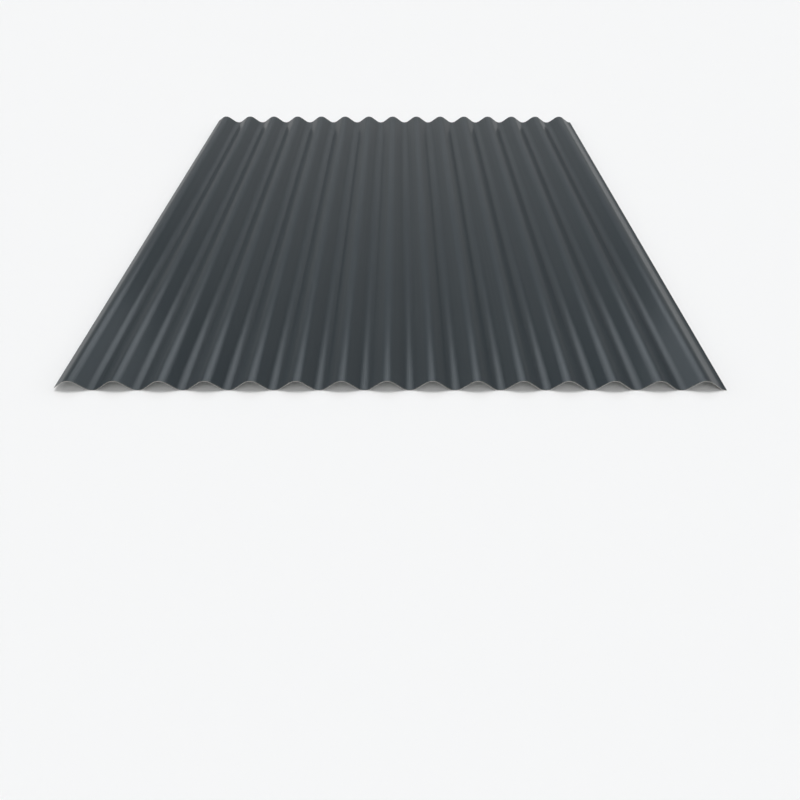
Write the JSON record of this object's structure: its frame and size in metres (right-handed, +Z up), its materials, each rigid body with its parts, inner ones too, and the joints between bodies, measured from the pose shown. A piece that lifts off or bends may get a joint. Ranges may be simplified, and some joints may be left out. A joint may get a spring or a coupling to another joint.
{
  "type": "corrugated metal sheet",
  "caption": "Round-wave corrugated steel sheet for roofing and wall cladding, with a dark coated face, a pale back and bare cut edges, lying flat on its troughs.",
  "frame": {"origin": "on the floor under the middle of the sheet: the centre of the bounding box's bottom face, level with the underside of the troughs", "axes": "+Y runs along the waves, the length of the sheet; +X runs across the waves, from the overlap edge to the underlap edge; +Z is up, out of the coated face"},
  "size_m": [1.1272, 1.5, 0.0186],
  "materials": {
    "coated_steel": "satin anthracite coating on the top face, pale grey back coat, bare zinc at the cut edges"
  },
  "bodies": {
    "root": {"corrugated_sheet": "coated_steel"}
  },
  "joints": []
}
